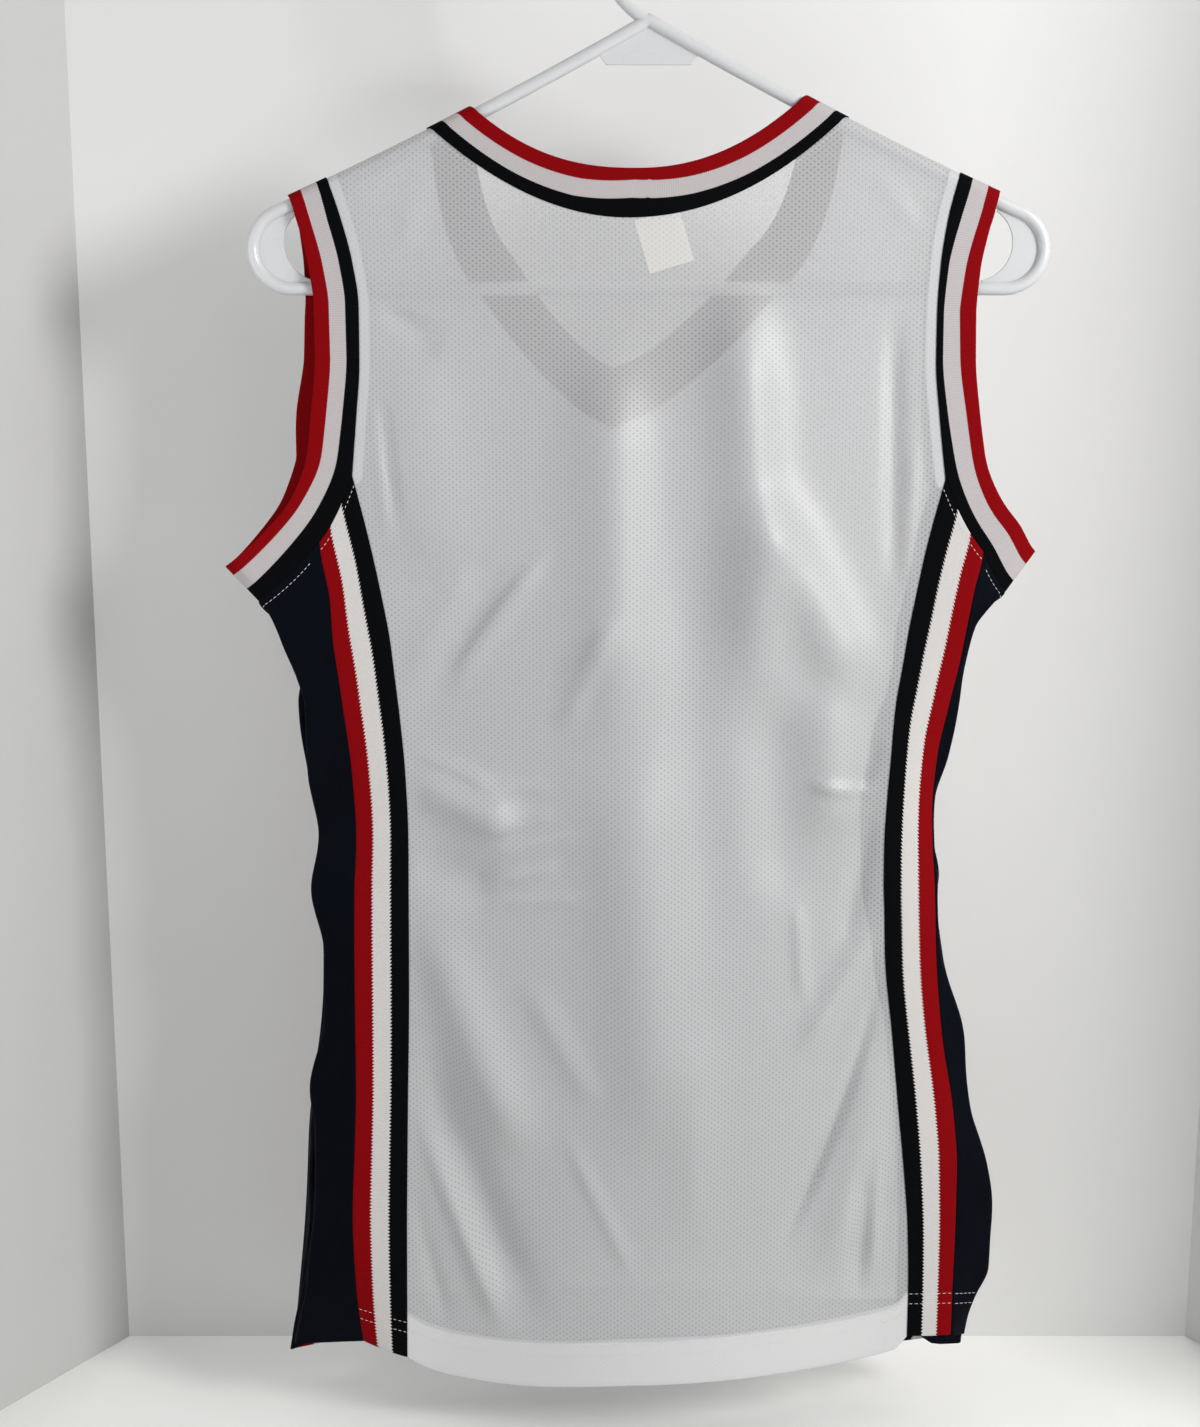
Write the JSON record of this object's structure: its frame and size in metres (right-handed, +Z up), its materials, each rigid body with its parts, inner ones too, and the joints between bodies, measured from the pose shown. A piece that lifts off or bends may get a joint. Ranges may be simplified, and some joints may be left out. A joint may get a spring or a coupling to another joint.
{
  "type": "basketball jersey on hanger",
  "caption": "Sleeveless mesh basketball jersey with striped rib trims and dark side panels, hung flat on a tubular plastic hanger",
  "frame": {"origin": "Inside of the top of the hanger's hook, where a rail bears, in the hanger's own plane", "axes": "+Z up, +X to the right of someone who looks at the jersey's back, +Y towards the jersey's front; the back faces -Y"},
  "size_m": [0.4365, 0.0878, 0.8441],
  "materials": {
    "hanger_white": "smooth moulded white plastic",
    "mesh_white": "white pinhole mesh knit",
    "knit_navy": "very dark navy smooth knit with a faint sheen",
    "rib_white": "flat rib knit, one navy, one white and one red band",
    "rib_red": "rib knit trim, navy at the seam, white, and red at the free edge",
    "label_white": "blank woven satin label"
  },
  "bodies": {
    "root": {"hanger": "hanger_white", "back_panel": "mesh_white", "front_panel": "mesh_white", "side_panel_left": "knit_navy", "side_panel_right": "knit_navy", "side_tape_back_left": "rib_white", "side_tape_back_right": "rib_white", "side_tape_front_left": "rib_white", "side_tape_front_right": "rib_white", "neck_trim": "rib_red", "armhole_trim_left": "rib_red", "armhole_trim_right": "rib_red", "neck_label": "label_white"}
  },
  "joints": []
}
